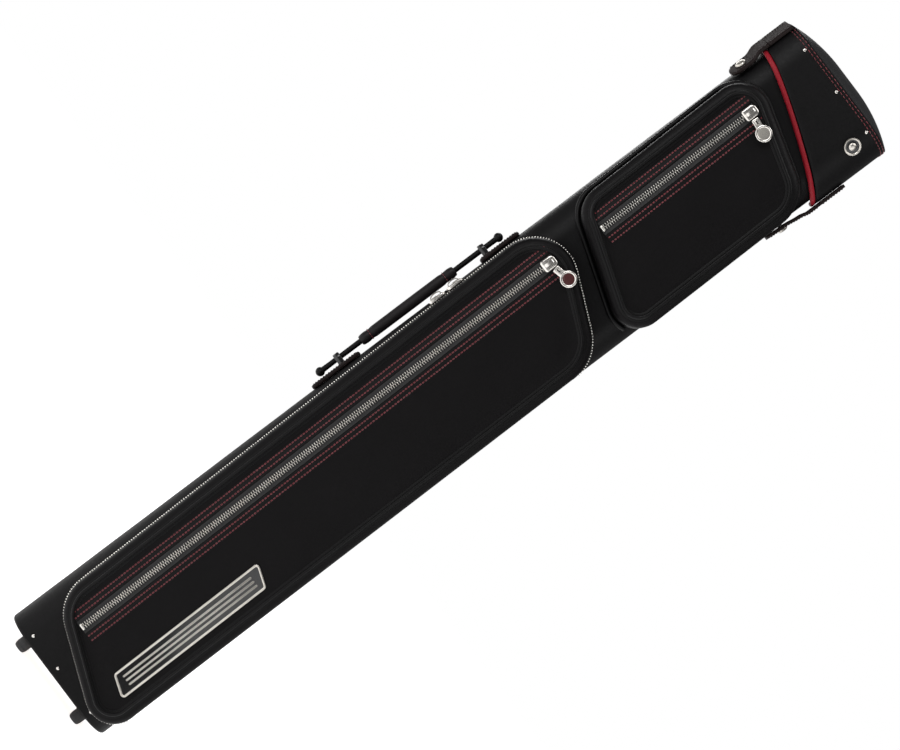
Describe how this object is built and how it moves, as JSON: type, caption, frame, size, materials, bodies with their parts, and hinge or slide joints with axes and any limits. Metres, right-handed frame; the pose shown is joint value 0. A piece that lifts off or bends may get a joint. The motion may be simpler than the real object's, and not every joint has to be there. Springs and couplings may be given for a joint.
{
  "type": "hard cue case",
  "caption": "Upright hard cue case with a hinged snap-strap lid, a large and a small zipped front pocket, inner tubes and a side handle.",
  "frame": {"origin": "middle of the whole case's plan, handle and zip pulls included, at the bottom of the feet", "axes": "+Z along the case from its feet to its lid, pockets face -Y, handle on -X, lid hinge on +Y"},
  "size_m": [0.1542, 0.1149, 0.8855],
  "materials": {
    "body_shell": "semi-gloss grained black",
    "base_plug": "raw board",
    "foot_front_left": "matt black",
    "foot_front_right": "matt black",
    "foot_rear_left": "matt black",
    "foot_rear_right": "matt black",
    "base_rivet_left": "bright nickel",
    "base_rivet_middle": "bright nickel",
    "base_rivet_right": "bright nickel",
    "butt_tube_left": "matt black",
    "butt_tube_right": "matt black",
    "shaft_tube_front_left": "matt black",
    "shaft_tube_front_right": "matt black",
    "shaft_tube_rear_left": "matt black",
    "shaft_tube_rear_right": "matt black",
    "tube_collar": "dark red lining",
    "hinge_flap_body": "semi-gloss grained black",
    "snap_stud_left": "bright nickel",
    "snap_stud_right": "bright nickel",
    "handle_tab_lower": "dark brown, stitched",
    "handle_tab_upper": "dark brown, stitched",
    "handle_loop_lower": "gloss black",
    "handle_loop_upper": "gloss black",
    "large_pocket_gusset": "semi-gloss grained black",
    "large_pocket_hinge": "black woven tape",
    "perimeter_chain_fixed": "nickel zip teeth",
    "small_pocket_gusset": "semi-gloss grained black",
    "small_pocket_panel": "semi-gloss grained black",
    "small_pocket_piping": "semi-gloss grained black",
    "small_pocket_base_piping": "semi-gloss grained black",
    "small_zip_chain": "nickel zip teeth",
    "lid_shell": "semi-gloss grained black",
    "lid_dome": "semi-gloss grained black",
    "lid_plug": "raw board",
    "lid_pad": "dark red lining",
    "lid_piping": "dark red piping",
    "lid_rivet_left": "bright nickel",
    "lid_rivet_middle": "bright nickel",
    "lid_rivet_right": "bright nickel",
    "lid_emblem": "bright nickel",
    "hinge_flap_lid": "semi-gloss grained black",
    "strap_base_left": "dark brown, stitched",
    "strap_base_right": "dark brown, stitched",
    "strap_tail_left": "dark brown, stitched",
    "snap_cap_left": "bright nickel",
    "strap_tail_right": "dark brown, stitched",
    "snap_cap_right": "bright nickel",
    "pocket_door": "semi-gloss grained black",
    "perimeter_chain_door": "nickel zip teeth",
    "pocket_door_piping": "semi-gloss grained black",
    "large_zip_chain": "nickel zip teeth",
    "pocket_nameplate": "bright nickel",
    "large_zip_slider": "bright nickel",
    "large_zip_pull": "bright nickel",
    "small_zip_slider": "bright nickel",
    "small_zip_pull": "bright nickel",
    "perimeter_slider_lower": "bright nickel",
    "perimeter_slider_upper": "bright nickel",
    "handle_cord": "semi-gloss grained black",
    "handle_grip": "semi-gloss grained black"
  },
  "bodies": {
    "case_body": {"body_shell": "body_shell", "base_plug": "base_plug", "foot_front_left": "foot_front_left", "foot_front_right": "foot_front_right", "foot_rear_left": "foot_rear_left", "foot_rear_right": "foot_rear_right", "base_rivet_left": "base_rivet_left", "base_rivet_middle": "base_rivet_middle", "base_rivet_right": "base_rivet_right", "butt_tube_left": "butt_tube_left", "butt_tube_right": "butt_tube_right", "shaft_tube_front_left": "shaft_tube_front_left", "shaft_tube_front_right": "shaft_tube_front_right", "shaft_tube_rear_left": "shaft_tube_rear_left", "shaft_tube_rear_right": "shaft_tube_rear_right", "tube_collar": "tube_collar", "hinge_flap_body": "hinge_flap_body", "snap_stud_left": "snap_stud_left", "snap_stud_right": "snap_stud_right", "handle_tab_lower": "handle_tab_lower", "handle_tab_upper": "handle_tab_upper", "handle_loop_lower": "handle_loop_lower", "handle_loop_upper": "handle_loop_upper", "large_pocket_gusset": "large_pocket_gusset", "large_pocket_hinge": "large_pocket_hinge", "perimeter_chain_fixed": "perimeter_chain_fixed", "small_pocket_gusset": "small_pocket_gusset", "small_pocket_panel": "small_pocket_panel", "small_pocket_piping": "small_pocket_piping", "small_pocket_base_piping": "small_pocket_base_piping", "small_zip_chain": "small_zip_chain"},
    "lid": {"lid_shell": "lid_shell", "lid_dome": "lid_dome", "lid_plug": "lid_plug", "lid_pad": "lid_pad", "lid_piping": "lid_piping", "lid_rivet_left": "lid_rivet_left", "lid_rivet_middle": "lid_rivet_middle", "lid_rivet_right": "lid_rivet_right", "lid_emblem": "lid_emblem", "hinge_flap_lid": "hinge_flap_lid", "strap_base_left": "strap_base_left", "strap_base_right": "strap_base_right"},
    "strap_left": {"strap_tail_left": "strap_tail_left", "snap_cap_left": "snap_cap_left"},
    "strap_right": {"strap_tail_right": "strap_tail_right", "snap_cap_right": "snap_cap_right"},
    "pocket_door": {"pocket_door": "pocket_door", "perimeter_chain_door": "perimeter_chain_door", "pocket_door_piping": "pocket_door_piping", "large_zip_chain": "large_zip_chain", "pocket_nameplate": "pocket_nameplate"},
    "large_slider": {"large_zip_slider": "large_zip_slider"},
    "large_pull": {"large_zip_pull": "large_zip_pull"},
    "small_slider": {"small_zip_slider": "small_zip_slider"},
    "small_pull": {"small_zip_pull": "small_zip_pull"},
    "perimeter_lower": {"perimeter_slider_lower": "perimeter_slider_lower"},
    "perimeter_upper": {"perimeter_slider_upper": "perimeter_slider_upper"},
    "handle": {"handle_cord": "handle_cord", "handle_grip": "handle_grip"}
  },
  "joints": [
    {"name": "lid_hinge", "type": "hinge", "parent": "case_body", "child": "lid", "pos_m": [0.0027, 0.05585, 0.8415], "axis": [-1, 0, 0], "range_deg": [0, 110]},
    {"name": "strap_left_hinge", "type": "hinge", "parent": "lid", "child": "strap_left", "pos_m": [-0.06802, -0.00711, 0.8445], "axis": [-0.4384, 0.8988, 0], "range_deg": [0, 110]},
    {"name": "strap_right_hinge", "type": "hinge", "parent": "lid", "child": "strap_right", "pos_m": [0.0771, 0.00885, 0.7975], "axis": [0, -1, 0], "range_deg": [0, 110]},
    {"name": "pocket_door_hinge", "type": "hinge", "parent": "case_body", "child": "pocket_door", "pos_m": [0.07004, -0.03215, 0.28945], "axis": [-0.0085, 0, 1], "range_deg": [0, 120]},
    {"name": "large_zip_slide", "type": "slide", "parent": "pocket_door", "child": "large_slider", "axis": [-0.0154, 0, 0.9999], "range_m": [-0.49, 0]},
    {"name": "large_pull_hinge", "type": "hinge", "parent": "large_slider", "child": "large_pull", "pos_m": [-0.0187, -0.0546, 0.57518], "axis": [0.24, 0, -0.9708], "range_deg": [0, 115]},
    {"name": "small_zip_slide", "type": "slide", "parent": "case_body", "child": "small_slider", "axis": [-0.0185, 0, 0.9998], "range_m": [-0.145, 0]},
    {"name": "small_pull_hinge", "type": "hinge", "parent": "small_slider", "child": "small_pull", "pos_m": [-0.01793, -0.0526, 0.7899], "axis": [-0.0861, 0, -0.9963], "range_deg": [0, 115]},
    {"name": "perimeter_lower_slide", "type": "slide", "parent": "case_body", "child": "perimeter_lower", "axis": [-0.0164, 0, 0.9999], "range_m": [-0.37, 0]},
    {"name": "perimeter_upper_slide", "type": "slide", "parent": "case_body", "child": "perimeter_upper", "axis": [-0.0164, 0, 0.9999], "range_m": [0, 0.06]},
    {"name": "handle_slide", "type": "slide", "parent": "case_body", "child": "handle", "axis": [0, 0, 1], "range_m": [-0.01, 0.012]}
  ]
}
